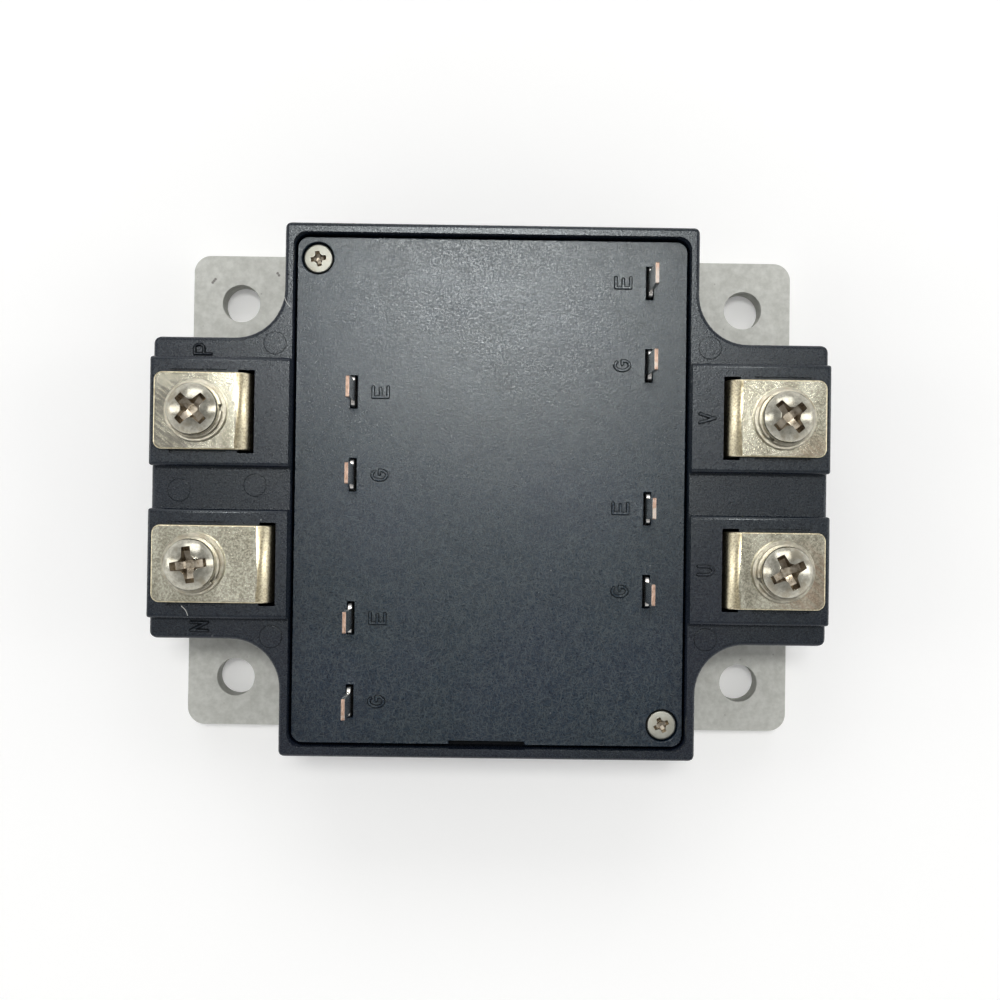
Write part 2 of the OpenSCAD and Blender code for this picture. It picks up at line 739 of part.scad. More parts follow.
base_plate();
case_frame();
lid();
lid_screw(-1);  // lid_screw_1
lid_screw(1);  // lid_screw_2
terminal(-1, 1, leg_p_x);  // terminal_p
terminal(-1, -1, leg_n_x);  // terminal_n
terminal(1, 1, leg_out_x);  // terminal_v
terminal(1, -1, leg_out_x);  // terminal_u
terminal_screw(0);  // terminal_screw_p
terminal_screw(1);  // terminal_screw_n
terminal_screw(2);  // terminal_screw_v
terminal_screw(3);  // terminal_screw_u
spring_washer(0);  // spring_washer_p
spring_washer(1);  // spring_washer_n
spring_washer(2);  // spring_washer_v
spring_washer(3);  // spring_washer_u
flat_washer(0);  // flat_washer_p
flat_washer(1);  // flat_washer_n
flat_washer(2);  // flat_washer_v
flat_washer(3);  // flat_washer_u
terminal_nut(0);  // terminal_nut_p
terminal_nut(1);  // terminal_nut_n
terminal_nut(2);  // terminal_nut_v
terminal_nut(3);  // terminal_nut_u
control_tab(1);  // control_tab_1
control_tab(2);  // control_tab_2
control_tab(3);  // control_tab_3
control_tab(4);  // control_tab_4
control_tab(5);  // control_tab_5
control_tab(6);  // control_tab_6
control_tab(7);  // control_tab_7
control_tab(8);  // control_tab_8
ceramic(1);  // ceramic_v
ceramic(-1);  // ceramic_u
back_copper(1);  // back_copper_v
back_copper(-1);  // back_copper_u
copper_pattern(1);  // copper_pattern_v
copper_pattern(-1);  // copper_pattern_u
igbt_chip(1);  // igbt_chip_1
igbt_chip(2);  // igbt_chip_2
igbt_chip(3);  // igbt_chip_3
igbt_chip(4);  // igbt_chip_4
diode_chip(1);  // diode_chip_1
diode_chip(2);  // diode_chip_2
diode_chip(3);  // diode_chip_3
diode_chip(4);  // diode_chip_4
bond_wires(1);  // bond_wires_v
bond_wires(-1);  // bond_wires_u
silicone_gel();
epoxy_cap();
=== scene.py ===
"""Looks of a four-switch power module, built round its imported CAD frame.

Everything is in metres, in the frame's own axes: +Z up through the lid, +X from
the P and N terminals to the V and U terminals. Small sizes are written in
millimetres and multiplied by MM.
"""

import json
import math

import bmesh
import bpy
import numpy as np
from mathutils import Matrix, Vector


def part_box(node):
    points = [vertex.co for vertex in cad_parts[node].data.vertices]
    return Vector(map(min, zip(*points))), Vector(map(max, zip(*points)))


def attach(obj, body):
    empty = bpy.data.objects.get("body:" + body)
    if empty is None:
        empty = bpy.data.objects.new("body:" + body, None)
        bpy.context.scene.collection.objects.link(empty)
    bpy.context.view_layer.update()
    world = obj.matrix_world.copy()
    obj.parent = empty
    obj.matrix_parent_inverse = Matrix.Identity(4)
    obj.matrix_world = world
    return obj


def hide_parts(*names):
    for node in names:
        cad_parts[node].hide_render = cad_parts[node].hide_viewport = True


MM = 0.001

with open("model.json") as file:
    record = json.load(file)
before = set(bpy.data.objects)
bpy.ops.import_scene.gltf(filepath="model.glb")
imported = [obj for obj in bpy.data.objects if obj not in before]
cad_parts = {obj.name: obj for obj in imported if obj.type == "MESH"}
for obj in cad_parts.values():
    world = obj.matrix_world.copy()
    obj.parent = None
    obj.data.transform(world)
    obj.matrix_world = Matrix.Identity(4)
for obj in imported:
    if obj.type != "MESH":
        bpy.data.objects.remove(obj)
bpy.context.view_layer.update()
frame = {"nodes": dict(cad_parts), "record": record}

# ---- Sizes that the looks add to the frame ----

BLOCK_RAISE = 2.2 * MM          # terminal blocks above the ledges
TAB_THICKNESS = 0.5 * MM
HEAD_HEIGHT = 2.6 * MM          # terminal screw's pan head
HEAD_FILLET = 0.6 * MM
DOME_RADIUS = 5.4 * MM
RECESS_SPAN = 5.5 * MM          # its cross recess, from wing to wing
RECESS_WING = 1.3 * MM
RECESS_DEPTH = 2.1 * MM
RECESS_REACH = 2.7 * MM         # from the axis to where its metal ends
SCREW_EDGE = 0.13 * MM          # rounding of the screw's sharp edges
ROD_RADIUS = 1.95 * MM
THREAD_DEPTH = 0.3 * MM
THREAD_PITCH = 0.7 * MM
LID_HEAD_HEIGHT = 1.0 * MM
LID_HEAD_FILLET = 0.22 * MM
LID_DOME_RADIUS = 1.0           # a metre, so the head counts as flat
LID_RECESS_SPAN = 2.1 * MM
LID_RECESS_WING = 0.68 * MM
LID_RECESS_DEPTH = 0.8 * MM
LID_RECESS_REACH = 1.3 * MM
LID_SCREW_EDGE = 0.045 * MM
LID_ROD_RADIUS = 1.1 * MM
LID_THREAD_DEPTH = 0.2 * MM
LID_THREAD_PITCH = 0.8 * MM
STROKE_WIDTH = 0.49 * MM        # moulded letters
STROKE_RAISE = 0.26 * MM
TAB_LETTER_GAP = 3.65 * MM      # from a tab to its letter
EJECTOR_RADIUS = 1.55 * MM      # round marks of the mould's ejector pins
EJECTOR_RAISE = 0.05 * MM
EJECTOR_FLANK = 0.085 * MM
DIM_BELOW = 2.0 * MM            # under the ledges, where the painted shade starts to darken the plastic
BLACK_BELOW = 4.0 * MM          # and where that painted shade is darkest

TERMINALS = ("p", "n", "v", "u")
# How far each cross recess is turned, in degrees.
RECESS_TURN = {"p": 45, "n": 8, "v": 40, "u": 27}
LID_RECESS_TURN = {1: 10, 2: 25}

lid_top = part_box("lid")[1].z
block_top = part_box("case_frame")[1].z
ledge_top = block_top - BLOCK_RAISE
plate_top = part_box("base_plate")[1].z


# ---- Node helpers ----


class Shader:
    """A Principled material under construction, on coordinates in the frame."""

    def __init__(self, name):
        self.material = bpy.data.materials.new(name)
        self.material.use_nodes = True
        self.tree = self.material.node_tree
        self.bsdf = self.tree.nodes["Principled BSDF"]
        self.place = self.node("ShaderNodeTexCoord").outputs["Object"]

    def node(self, kind, **values):
        made = self.tree.nodes.new(kind)
        for key, value in values.items():
            setattr(made, key, value)
        return made

    def link(self, source, target):
        if hasattr(source, "is_output"):
            self.tree.links.new(source, target)
        else:
            target.default_value = source

    def stretched(self, scale, turn=0.0):
        """The frame's coordinates, turned about Z by an angle and then stretched."""
        rotate = self.node("ShaderNodeVectorRotate", rotation_type="Z_AXIS")
        rotate.inputs["Angle"].default_value = math.radians(turn)
        self.link(self.place, rotate.inputs["Vector"])
        stretch = self.node("ShaderNodeVectorMath", operation="MULTIPLY")
        self.link(rotate.outputs["Vector"], stretch.inputs[0])
        stretch.inputs[1].default_value = scale
        return stretch.outputs["Vector"]

    def noise(self, scale, detail=3.0, roughness=0.55, vector=None):
        made = self.node("ShaderNodeTexNoise")
        made.inputs["Scale"].default_value = scale
        made.inputs["Detail"].default_value = detail
        made.inputs["Roughness"].default_value = roughness
        self.link(vector or self.place, made.inputs["Vector"])
        return made.outputs["Fac"]

    def cells(self, scale):
        """Distance to the nearest of scattered points."""
        made = self.node("ShaderNodeTexVoronoi")
        made.inputs["Scale"].default_value = scale
        self.link(self.place, made.inputs["Vector"])
        return made.outputs["Distance"]

    def remap(self, value, low, high, to_low=0.0, to_high=1.0):
        made = self.node("ShaderNodeMapRange", interpolation_type="SMOOTHSTEP")
        self.link(value, made.inputs["Value"])
        for key, number in (("From Min", low), ("From Max", high),
                            ("To Min", to_low), ("To Max", to_high)):
            made.inputs[key].default_value = number
        return made.outputs["Result"]

    def math(self, operation, a, b):
        made = self.node("ShaderNodeMath", operation=operation)
        self.link(a, made.inputs[0])
        self.link(b, made.inputs[1])
        return made.outputs[0]

    def blend(self, share, a, b):
        made = self.node("ShaderNodeMix", data_type="RGBA")
        self.link(share, made.inputs["Factor"])
        for key, value in (("A", a), ("B", b)):
            socket = [s for s in made.inputs if s.name == key and s.type == "RGBA"][0]
            self.link(value, socket)
        return [s for s in made.outputs if s.type == "RGBA"][0]

    def bump(self, height, depth):
        made = self.node("ShaderNodeBump")
        made.inputs["Strength"].default_value = 1.0
        made.inputs["Distance"].default_value = depth
        self.link(height, made.inputs["Height"])
        return made.outputs["Normal"]

    def upward(self, low=0.75, high=0.97):
        """1 on faces that look up, 0 on walls."""
        normal = self.node("ShaderNodeNewGeometry").outputs["Normal"]
        split = self.node("ShaderNodeSeparateXYZ")
        self.link(normal, split.inputs[0])
        return self.remap(split.outputs["Z"], low, high)

    def height(self):
        split = self.node("ShaderNodeSeparateXYZ")
        self.link(self.place, split.inputs[0])
        return split.outputs["Z"]

    def spot(self, centre, radius, core=0.6):
        """1 inside a round spot about centre, fading from its core to its edge."""
        gap = self.node("ShaderNodeVectorMath", operation="DISTANCE")
        self.link(self.place, gap.inputs[0])
        gap.inputs[1].default_value = centre
        return self.remap(gap.outputs["Value"], radius * core, radius, 1.0, 0.0)

    def finish(self, colour, roughness, normal, metallic=0.0):
        self.link(colour, self.bsdf.inputs["Base Color"])
        self.link(roughness, self.bsdf.inputs["Roughness"])
        self.link(normal, self.bsdf.inputs["Normal"])
        self.bsdf.inputs["Metallic"].default_value = metallic
        return self.material


def rgba(r, g, b):
    return (r, g, b, 1.0)


# ---- Materials ----


def hairlines(s):
    """Thin scratches a millimetre or so long in all directions, and a few long ones."""
    lines = s.remap(s.noise(1.0, 1.0, 0.5, s.stretched((260.0, 6000.0, 260.0), 100)), 0.68, 0.74)
    for turn in (15, 62, -20, -60, 88):
        family = s.noise(1.0, 1.0, 0.5, s.stretched((900.0, 7500.0, 900.0), turn))
        lines = s.math("MAXIMUM", lines, s.remap(family, 0.61, 0.67))
    return lines


def dust(s, scale, size, cover):
    """Small round specks, on some of the cells only."""
    specks = s.remap(s.cells(scale), size * 0.5, size, 1.0, 0.0)
    kept = s.remap(s.noise(scale * 0.35, 1.0), 1.0 - cover - 0.03, 1.0 - cover)
    return s.math("MULTIPLY", specks, kept)


def black_plastic(name, hues, pale, wear_and_sheen_place, least, rough, scratched):
    """Moulded plastic with a fine skin and dust, scratched and worn where it was touched; on the lid the
    lighter scratches and rub marks gather where its highlight lies and are partly painted sheen.

    Faces far inside the case that look up carry painted shade: dull and nearly black.
    """
    s = Shader(name)
    top = s.upward()
    grain = s.noise(4400.0, 2.0, 0.8)
    skin = s.noise(3400.0, 2.0, 0.7)
    patches = s.noise(200.0, 4.0, 0.6)
    # Wear and painted sheen: on the lid the most worn spot sits where the highlight lies, and its lighter rub
    # marks stand in partly for scattered light.
    wear_and_sheen = s.math("MULTIPLY", s.math("MULTIPLY", s.remap(patches, 0.25, 0.6, 0.5, 1.0), wear_and_sheen_place(s)), top)
    share = s.math("ADD", s.math("MULTIPLY", wear_and_sheen, 1.0 - least), least)
    colour = s.blend(s.remap(s.noise(60.0, 2.0), 0.35, 0.65), *hues)
    colour = s.blend(s.remap(s.noise(4200.0, 1.0, 0.6), 0.3, 0.7, 0.0, 0.44), colour, pale)
    colour = s.blend(s.remap(skin, 0.3, 0.5, 0.4, 0.0), colour, rgba(0.001, 0.003, 0.006))
    rubbed_and_sheen = s.math("MULTIPLY", s.remap(grain, 0.38, 0.66, 0.05, 0.17), wear_and_sheen)
    colour = s.blend(rubbed_and_sheen, colour, rgba(0.20, 0.17, 0.12))
    # Lighter scratches: real scratches and, on the lid, partly painted sheen.
    scratches = s.math("MULTIPLY", hairlines(s), share)
    scratches = s.math("MULTIPLY", scratches, s.math("MULTIPLY", top, scratched))
    colour = s.blend(scratches, colour, rgba(0.16, 0.18, 0.175))
    specks = s.math("MULTIPLY", dust(s, 620.0, 0.085, 0.34), top)
    colour = s.blend(s.math("MULTIPLY", specks, 0.6), colour, rgba(0.34, 0.35, 0.35))
    # Painted shade: faces that look up far below the ledges fade to nearly black and grow rougher, standing
    # in for the shade inside the case.
    painted_deep_shade = s.remap(s.height(), ledge_top - BLACK_BELOW, ledge_top - DIM_BELOW, 1.0, 0.0)
    painted_deep_shade = s.math("MULTIPLY", painted_deep_shade, top)
    colour = s.blend(s.math("MULTIPLY", painted_deep_shade, 0.95), colour, rgba(0.0, 0.0, 0.001))
    gloss = s.math("MULTIPLY", s.math("MULTIPLY", s.math("SUBTRACT", 0.5, grain), share), 0.74)
    haze = s.math("MULTIPLY", s.math("SUBTRACT", patches, 0.5), 0.06)
    roughness = s.math("ADD", s.math("MULTIPLY", painted_deep_shade, 0.6), rough)
    roughness = s.math("ADD", s.math("ADD", gloss, haze), roughness)
    s.bsdf.inputs["Specular Tint"].default_value = rgba(0.91, 0.97, 1.0)
    return s.finish(colour, roughness, s.bump(s.math("MULTIPLY", skin, share), 0.022 * MM))


def case_plastic():
    hues = rgba(0.001, 0.003, 0.008), rgba(0.003, 0.004, 0.012)
    return black_plastic("case_plastic", hues, rgba(0.012, 0.021, 0.034),
                         wear_and_sheen_place=lambda s: 0.1, least=0.55, rough=0.273, scratched=0.11)


def lid_plastic():
    hues = rgba(0.0004, 0.006, 0.014), rgba(0.001, 0.005, 0.018)
    # Painted sheen as well as wear: the most worn spot is placed where the lid's highlight lies.
    worn_and_sheen_spot = (3.0 * MM, 30.0 * MM, lid_top)
    return black_plastic("lid_plastic", hues, rgba(0.016, 0.040, 0.066),
                         wear_and_sheen_place=lambda s: s.spot(worn_and_sheen_spot, 37.0 * MM, 0.3),
                         least=0.65, rough=0.267, scratched=0.36)


def shaded_flank_plastic():
    """Painted shade on the flanks of the moulded letters and marks: dull, dark plastic."""
    s = Shader("shaded_flank_plastic")
    colour = s.blend(s.noise(2600.0), rgba(0.001, 0.002, 0.003), rgba(0.004, 0.006, 0.008))
    s.bsdf.inputs["Specular IOR Level"].default_value = 0.12
    roughness = s.remap(s.noise(1800.0), 0.3, 0.7, 0.5, 0.62)
    return s.finish(colour, roughness, s.bump(s.noise(3000.0), 0.004 * MM))


def plate_nickel():
    """Matt nickel plating, with two small nicks on one ear made of five spots."""
    s = Shader("plate_nickel")
    cloud = s.remap(s.noise(900.0, 5.0, 0.65), 0.25, 0.75)
    colour = s.blend(cloud, rgba(0.48, 0.485, 0.45), rgba(0.62, 0.625, 0.59))
    nick = 0.0
    for x, y in ((-41.3, 30.55), (-41.1, 30.8), (-40.9, 31.05), (-31.75, 32.05), (-31.55, 31.75)):
        nick = s.math("MAXIMUM", nick, s.spot((x * MM, y * MM, plate_top), 0.24 * MM))
    pits = s.math("MULTIPLY", dust(s, 700.0, 0.12, 0.40), 0.5)
    colour = s.blend(s.math("MAXIMUM", nick, pits), colour, rgba(0.22, 0.21, 0.20))
    roughness = s.remap(s.noise(500.0, 4.0), 0.3, 0.7, 0.54, 0.64)
    return s.finish(colour, roughness, s.bump(s.noise(3200.0, 3.0, 0.7), 0.012 * MM), metallic=0.3)


def strip_nickel():
    """Satin nickel on folded copper, stained where it was touched; the bends are yellower, with painted shade
    where they start to tilt and a painted highlight further round.
    """
    s = Shader("strip_nickel")
    strip_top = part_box("terminal_p")[1].z
    grain = s.noise(3600.0, 2.0, 0.8)
    bands = s.remap(s.noise(1.0, 2.0, 0.5, s.stretched((420.0, 90.0, 420.0))), 0.3, 0.7)
    light = s.blend(bands, rgba(0.80, 0.77, 0.62), rgba(0.92, 0.90, 0.74))
    dark = s.blend(bands, rgba(0.40, 0.37, 0.27), rgba(0.56, 0.53, 0.42))
    colour = s.blend(s.remap(grain, 0.30, 0.66), dark, light)
    for (x, y), radius, share, stain in (
            ((-43.0, 9.0), 10.5, 0.9, rgba(0.25, 0.235, 0.20)),
            ((37.0, -9.0), 9.0, 0.35, rgba(0.34, 0.31, 0.24)),
            ((43.5, -12.0), 7.5, 0.6, rgba(0.60, 0.42, 0.29)),
            ((43.5, 5.0), 4.5, 0.65, rgba(0.52, 0.40, 0.28))):
        place = s.spot((x * MM, y * MM, strip_top), radius * MM, 0.3)
        drawn = s.noise(1.0, 2.0, 0.5, s.stretched((300.0, 2400.0, 300.0), 40))
        patchy = s.remap(drawn, 0.35, 0.62, share * 0.35, share)
        colour = s.blend(s.math("MULTIPLY", place, patchy), colour, stain)
    # On the bends the colour follows the tilt of the faces: the darker tone where a bend starts is painted
    # shade, the paler tone further round a painted highlight, both over the metal's own yellower tone.
    warm_bend_shade = s.blend(s.remap(grain, 0.3, 0.66), rgba(0.40, 0.33, 0.20), rgba(0.76, 0.67, 0.45))
    pale = s.blend(s.remap(grain, 0.3, 0.66), rgba(0.58, 0.50, 0.33), rgba(0.98, 0.90, 0.66))
    bend = s.blend(s.upward(0.86, 0.985), pale, warm_bend_shade)
    colour = s.blend(s.upward(0.985, 0.9995), bend, colour)
    roughness = s.math("ADD", s.math("MULTIPLY", bands, 0.04), s.remap(grain, 0.2, 0.8, 0.16, 0.21))
    roughness = s.math("ADD", roughness, s.remap(s.upward(0.985, 0.9998), 0.0, 1.0, 0.10, 0.0))
    return s.finish(colour, roughness, s.bump(s.noise(4300.0, 2.0, 0.7), 0.006 * MM), metallic=1.0)


def bright_nickel(name, dark, light, tarnish, rough, relief):
    """Plated steel with cloudy tarnish and a relief given in millimetres."""
    s = Shader(name)
    cloud = s.noise(1100.0, 4.0, 0.65)
    colour = s.blend(s.remap(cloud, 0.3, 0.7), dark, light)
    stain = s.remap(s.noise(520.0, 2.0), 0.5, 0.7, 0.0, 0.5)
    colour = s.blend(stain, colour, tarnish)
    roughness = s.remap(cloud, 0.3, 0.7, rough - 0.04, rough + 0.04)
    return s.finish(colour, roughness, s.bump(s.noise(2600.0, 3.0), relief * MM), metallic=1.0)


def screw_nickel():
    return bright_nickel("screw_nickel", rgba(0.42, 0.40, 0.33), rgba(0.64, 0.62, 0.53),
                         rgba(0.36, 0.31, 0.22), rough=0.19, relief=0.006)


def washer_nickel():
    return bright_nickel("washer_nickel", rgba(0.34, 0.32, 0.26), rgba(0.56, 0.53, 0.44),
                         rgba(0.32, 0.26, 0.18), rough=0.34, relief=0.001)


def lid_screw_nickel():
    return bright_nickel("lid_screw_nickel", rgba(0.38, 0.38, 0.33), rgba(0.46, 0.46, 0.41),
                         rgba(0.36, 0.33, 0.26), rough=0.48, relief=0.004)


def recess_metal():
    """The screws' drive recess, duller and browner than the head."""
    return bright_nickel("recess_metal", rgba(0.22, 0.18, 0.13), rgba(0.48, 0.43, 0.35),
                         rgba(0.17, 0.13, 0.09), rough=0.30, relief=0.006)


def tab_metal():
    """Nickel on the blade's faces, bare copper on the punched edges and the tip."""
    s = Shader("tab_metal")
    normal = s.node("ShaderNodeSeparateXYZ")
    s.link(s.node("ShaderNodeNewGeometry").outputs["Normal"], normal.inputs[0])
    cut_edge = s.remap(s.math("ABSOLUTE", normal.outputs["X"], 0.0), 0.35, 0.75, 1.0, 0.0)
    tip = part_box("control_tab_1")[1].z
    edge = s.math("MULTIPLY", cut_edge, s.remap(s.height(), tip - 0.5 * MM, tip - 0.3 * MM, 0.12, 1.0))
    cloud = s.remap(s.noise(900.0, 4.0), 0.3, 0.7)
    nickel = s.blend(cloud, rgba(0.72, 0.71, 0.68), rgba(0.86, 0.85, 0.82))
    drag = s.noise(1.0, 3.0, 0.6, s.stretched((5600.0, 1300.0, 900.0)))
    copper = s.blend(s.remap(drag, 0.25, 0.75), rgba(0.26, 0.14, 0.095), rgba(0.60, 0.44, 0.35))
    smear = s.remap(s.noise(700.0, 1.0), 0.55, 0.68, 0.0, 0.7)
    copper = s.blend(smear, copper, rgba(0.52, 0.49, 0.45))
    colour = s.blend(edge, nickel, copper)
    roughness = s.math("ADD", s.remap(s.noise(1500.0, 3.0), 0.3, 0.7, 0.17, 0.25),
                       s.math("MULTIPLY", edge, 0.27))
    drawn = s.bump(s.noise(1.0, 3.0, 0.5, s.stretched((2200.0, 2200.0, 160.0))), 0.0015 * MM)
    return s.finish(colour, roughness, drawn, metallic=1.0)


def inner_finish(name, dark, light, rough, metallic=0.0):
    """Plain mottled finish for the pieces inside the closed case."""
    s = Shader(name)
    cloud = s.remap(s.noise(600.0, 4.0), 0.3, 0.7)
    colour = s.blend(cloud, dark, light)
    roughness = s.remap(s.noise(1400.0, 3.0), 0.3, 0.7, rough - 0.05, rough + 0.05)
    return s.finish(colour, roughness, s.bump(s.noise(3000.0, 2.0), 0.004 * MM), metallic)


def fibre_lint():
    s = Shader("fibre_lint")
    colour = s.blend(s.noise(2500.0), rgba(0.55, 0.56, 0.54), rgba(0.75, 0.76, 0.74))
    return s.finish(colour, s.remap(s.noise(4000.0), 0.3, 0.7, 0.7, 0.9), s.bump(s.noise(9000.0), 0.004 * MM))


def floor_white():
    """White floor that keeps the shadow and looks a little brighter to the camera."""
    s = Shader("floor_white")
    colour = s.blend(s.noise(6.0, 3.0), rgba(0.84, 0.84, 0.84), rgba(0.86, 0.86, 0.86))
    seen = s.node("ShaderNodeLightPath").outputs["Is Camera Ray"]
    s.link(s.math("MULTIPLY", seen, 0.18), s.bsdf.inputs["Emission Strength"])
    s.bsdf.inputs["Emission Color"].default_value = rgba(1.0, 1.0, 1.0)
    return s.finish(colour, s.remap(s.noise(30.0), 0.3, 0.7, 0.8, 0.9), s.bump(s.noise(900.0), 0.01 * MM))


MATERIALS = {
    "case_plastic": case_plastic(),
    "lid_plastic": lid_plastic(),
    "nickel_plate": plate_nickel(),
    "strip_nickel": strip_nickel(),
    "screw_nickel": screw_nickel(),
    "tab_copper": tab_metal(),
    "ceramic": inner_finish("ceramic_white", rgba(0.84, 0.84, 0.80), rgba(0.92, 0.92, 0.88), 0.5),
    "copper": inner_finish("copper_foil", rgba(0.70, 0.38, 0.24), rgba(0.82, 0.48, 0.32), 0.3, 1.0),
    "silicon": inner_finish("silicon_face", rgba(0.28, 0.30, 0.34), rgba(0.36, 0.38, 0.42), 0.2, 0.6),
    "wire": inner_finish("aluminium_wire", rgba(0.80, 0.81, 0.82), rgba(0.88, 0.89, 0.90), 0.3, 1.0),
    "gel": inner_finish("silicone_gel", rgba(0.78, 0.82, 0.80), rgba(0.86, 0.89, 0.87), 0.15),
    "epoxy": inner_finish("dark_epoxy", rgba(0.006, 0.006, 0.007), rgba(0.014, 0.013, 0.013), 0.45),
}

LINT = fibre_lint()
RECESS = recess_metal()
WASHER = washer_nickel()
LID_SCREW = lid_screw_nickel()
# Painted shade for the flanks of the moulded letters and marks.
FLANK_SHADE = shaded_flank_plastic()


# ---- Mesh helpers ----


def make_piece(name, vertices, faces, slot, smooth=35.0, material=None):
    """A new mesh object that rides on the module, in its slot's material or one of its own."""
    mesh = bpy.data.meshes.new(name)
    mesh.from_pydata([tuple(v) for v in vertices], [], faces)
    mesh.materials.append(material or MATERIALS[slot])
    mesh.validate()
    mesh.shade_smooth()
    mesh.set_sharp_from_angle(angle=math.radians(smooth))
    piece = bpy.data.objects.new(name, mesh)
    bpy.context.scene.collection.objects.link(piece)
    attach(piece, "root")
    return piece


def line_recess(screw, centre, top, depth, reach, dome_radius):
    """Gives the faces inside a screw's drive recess, below the head's dome, their own metal."""
    screw.data.materials.append(RECESS)
    lowest = top - depth - 0.05 * MM
    for face in screw.data.polygons:
        away = (face.center.xy - centre.xy).length
        if away < reach and face.center.z > lowest:
            dome = top - dome_radius + math.sqrt(dome_radius ** 2 - away ** 2)
            if face.center.z < dome - 0.06 * MM:
                face.material_index = 1


def lathe(profile, steps):
    """Closed solid of revolution from (radius, height) points that start and end on the axis."""
    vertices = [(0.0, 0.0, profile[0][1])]
    rings = profile[1:-1]
    for radius, z in rings:
        for k in range(steps):
            turn = 2 * math.pi * k / steps
            vertices.append((radius * math.cos(turn), radius * math.sin(turn), z))
    vertices.append((0.0, 0.0, profile[-1][1]))
    faces = []
    for k in range(steps):
        after = (k + 1) % steps
        faces.append((0, 1 + after, 1 + k))
        for row in range(len(rings) - 1):
            low = 1 + row * steps
            faces.append((low + k, low + after, low + steps + after, low + steps + k))
        last = 1 + (len(rings) - 1) * steps
        faces.append((last + k, last + after, len(vertices) - 1))
    return vertices, faces


def arc(centre, radius, start, end, count):
    """Points of a circle's arc in radius and height, angles in degrees."""
    return [(centre[0] + radius * math.cos(math.radians(start + (end - start) * k / count)),
             centre[1] + radius * math.sin(math.radians(start + (end - start) * k / count)))
            for k in range(count + 1)]


def moved(shape, place):
    """A (vertices, faces) pair, shifted by place."""
    vertices, faces = shape
    return [(v[0] + place[0], v[1] + place[1], v[2] + place[2]) for v in vertices], faces


def joined(*parts):
    """Several (vertices, faces) pairs as one."""
    vertices, faces = [], []
    for part_vertices, part_faces in parts:
        start = len(vertices)
        vertices += list(part_vertices)
        faces += [tuple(start + i for i in face) for face in part_faces]
    return vertices, faces


# ---- Screws ----


def cross_tool(span, wing, depth, turn):
    """Cutter for a cross recess, its mouth at z = 0: four wings that narrow downwards."""
    levels = [(0.3 * depth, 1.08), (0.0, 1.0), (-depth * 0.72, 0.66), (-depth, 0.2)]
    vertices = []
    for z, share in levels:
        reach = span / 2 * share
        half = wing / 2 * (0.75 + 0.25 * share)
        neck = min(half * 1.7, reach * 0.95)
        for quarter in range(4):
            base = math.radians(turn + 90 * quarter)
            for x, y in ((neck, -half), (reach, -half * 0.86), (reach, half * 0.86), (neck, half)):
                vertices.append((x * math.cos(base) - y * math.sin(base),
                                 x * math.sin(base) + y * math.cos(base), z))
    count = 16
    faces = [tuple(reversed(range(count * 3, count * 4))), tuple(range(count))]
    for level in range(3):
        upper, lower = level * count, (level + 1) * count
        for k in range(count):
            after = (k + 1) % count
            faces.append((upper + k, lower + k, lower + after, upper + after))
    return vertices, faces


def carve(solid, tool):
    """The solid's mesh with the tool cut out of it, both as (vertices, faces)."""
    made = []
    for name, (vertices, faces) in (("solid", solid), ("tool", tool)):
        mesh = bpy.data.meshes.new(name)
        mesh.from_pydata([tuple(v) for v in vertices], [], faces)
        work = bmesh.new()
        work.from_mesh(mesh)
        bmesh.ops.recalc_face_normals(work, faces=work.faces)
        work.to_mesh(mesh)
        work.free()
        made.append(bpy.data.objects.new(name, mesh))
        bpy.context.scene.collection.objects.link(made[-1])
    cut = made[0].modifiers.new("cut", "BOOLEAN")
    cut.operation = "DIFFERENCE"
    cut.solver = "EXACT"
    cut.object = made[1]
    graph = bpy.context.evaluated_depsgraph_get()
    result = bpy.data.meshes.new_from_object(made[0].evaluated_get(graph))
    vertices = [tuple(v.co) for v in result.vertices]
    faces = [tuple(p.vertices) for p in result.polygons]
    for item in made:
        bpy.data.objects.remove(item)
    return vertices, faces


def threaded_rod(radius, depth, pitch, low, high):
    """Rod with a helical thread between two heights."""
    columns, per_pitch = 32, 6
    rows = int((high - low) / pitch * per_pitch)
    vertices = [(0.0, 0.0, low)]
    for row in range(rows + 1):
        z = low + (high - low) * row / rows
        for k in range(columns):
            phase = (z / pitch - k / columns) % 1.0
            ridge = 1.0 - abs(2.0 * phase - 1.0)
            taper = min(1.0, (z - low) / pitch)
            r = radius - depth * (1.0 - ridge * taper)
            turn = 2 * math.pi * k / columns
            vertices.append((r * math.cos(turn), r * math.sin(turn), z))
    vertices.append((0.0, 0.0, high))
    faces = []
    for k in range(columns):
        after = (k + 1) % columns
        faces.append((0, 1 + after, 1 + k))
        for row in range(rows):
            low_row = 1 + row * columns
            faces.append((low_row + k, low_row + after, low_row + columns + after, low_row + columns + k))
        last = 1 + rows * columns
        faces.append((last + k, last + after, len(vertices) - 1))
    return vertices, faces


def soften(piece, width):
    """Rounds a piece's sharp edges a little."""
    bevel = piece.modifiers.new("edge_rounding", "BEVEL")
    bevel.width = width
    bevel.segments = 2
    bevel.limit_method = "ANGLE"
    bevel.harden_normals = True
    bevel.angle_limit = math.radians(32)


def pan_head(head_radius, height, dome_radius, fillet):
    """Profile of a domed head with a filleted edge, as (radius, height) points."""
    dome_z = height - dome_radius
    rise = math.sqrt((dome_radius - fillet) ** 2 - (head_radius - fillet) ** 2)
    turn = math.degrees(math.atan2(rise, head_radius - fillet))
    profile = [(0, 0), (head_radius - 0.12 * MM, 0), (head_radius, 0.12 * MM)]
    profile += arc((head_radius - fillet, dome_z + rise), fillet, 0, turn, 6)
    profile += arc((0, dome_z), dome_radius, turn, 90, 10)[1:-1]
    return profile + [(0, height)]


